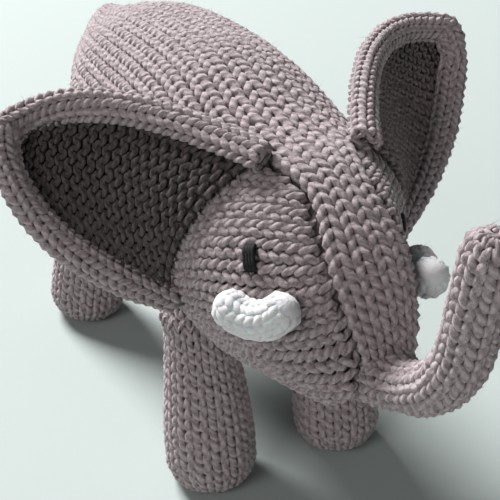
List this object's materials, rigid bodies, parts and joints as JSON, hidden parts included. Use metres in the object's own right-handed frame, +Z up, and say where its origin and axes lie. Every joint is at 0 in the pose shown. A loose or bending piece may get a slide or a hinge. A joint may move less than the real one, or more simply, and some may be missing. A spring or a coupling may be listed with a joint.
{
  "type": "stuffed elephant",
  "caption": "Hand-knitted stuffed elephant toy with a raised trunk, dished ears, white tusks, sewn legs and a short tail; legs, ears, trunk and tail flex at their seams.",
  "frame": {"origin": "on the floor, under the middle of the length", "axes": "+Z up, the elephant faces -Y, its own left side is +X"},
  "size_m": [0.1268, 0.1963, 0.102],
  "materials": {
    "grey_yarn": "matte knitted yarn, warm grey",
    "sewing_yarn": "matte yarn pulled tight in the seams",
    "white_yarn": "soft white brushed yarn",
    "black_yarn": "black embroidery yarn",
    "filling": "white polyester fibre"
  },
  "bodies": {
    "torso": {"body_cover": "grey_yarn", "body_stuffing": "filling", "right_tusk_cover": "white_yarn", "left_tusk_cover": "white_yarn", "right_tusk_stuffing": "filling", "left_tusk_stuffing": "filling", "right_eye": "black_yarn", "left_eye": "black_yarn", "right_ear_seam": "sewing_yarn", "left_ear_seam": "sewing_yarn"},
    "trunk": {"trunk_cover": "grey_yarn", "trunk_stuffing": "filling"},
    "right_ear": {"right_ear": "grey_yarn"},
    "left_ear": {"left_ear": "grey_yarn"},
    "tail": {"tail": "grey_yarn"},
    "front_right_leg": {"front_right_leg_cover": "grey_yarn", "front_right_leg_stuffing": "filling", "front_right_leg_seam": "sewing_yarn"},
    "front_left_leg": {"front_left_leg_cover": "grey_yarn", "front_left_leg_stuffing": "filling", "front_left_leg_seam": "sewing_yarn"},
    "rear_right_leg": {"rear_right_leg_cover": "grey_yarn", "rear_right_leg_stuffing": "filling", "rear_right_leg_seam": "sewing_yarn"},
    "rear_left_leg": {"rear_left_leg_cover": "grey_yarn", "rear_left_leg_stuffing": "filling", "rear_left_leg_seam": "sewing_yarn"}
  },
  "joints": [
    {"name": "trunk_bend", "type": "hinge", "parent": "torso", "child": "trunk", "pos_m": [0, -0.069, 0.056], "axis": [1, 0, 0], "range_deg": [-18, 18], "stiffness_Nm_per_rad": 0.02},
    {"name": "front_right_hip", "type": "hinge", "parent": "torso", "child": "front_right_leg", "pos_m": [-0.0185, -0.022, 0.043], "axis": [1, 0, 0], "range_deg": [-18, 18], "stiffness_Nm_per_rad": 0.04},
    {"name": "front_left_hip", "type": "hinge", "parent": "torso", "child": "front_left_leg", "pos_m": [0.0185, -0.022, 0.043], "axis": [1, 0, 0], "range_deg": [-18, 18], "stiffness_Nm_per_rad": 0.04},
    {"name": "rear_right_hip", "type": "hinge", "parent": "torso", "child": "rear_right_leg", "pos_m": [-0.0175, 0.05, 0.048], "axis": [1, 0, 0], "range_deg": [-18, 18], "stiffness_Nm_per_rad": 0.04},
    {"name": "rear_left_hip", "type": "hinge", "parent": "torso", "child": "rear_left_leg", "pos_m": [0.0175, 0.05, 0.048], "axis": [1, 0, 0], "range_deg": [-18, 18], "stiffness_Nm_per_rad": 0.04},
    {"name": "right_ear_flap", "type": "hinge", "parent": "torso", "child": "right_ear", "pos_m": [-0.0281, -0.0325, 0.0735], "axis": [-0.3501, 0.1741, -0.9204], "range_deg": [-18, 15], "stiffness_Nm_per_rad": 0.01},
    {"name": "left_ear_flap", "type": "hinge", "parent": "torso", "child": "left_ear", "pos_m": [0.0281, -0.0325, 0.0735], "axis": [-0.3501, -0.1741, 0.9204], "range_deg": [-18, 15], "stiffness_Nm_per_rad": 0.01},
    {"name": "tail_swing", "type": "hinge", "parent": "torso", "child": "tail", "pos_m": [0, 0.0895, 0.08], "axis": [1, 0, 0], "range_deg": [-4, 30], "stiffness_Nm_per_rad": 0.003}
  ]
}
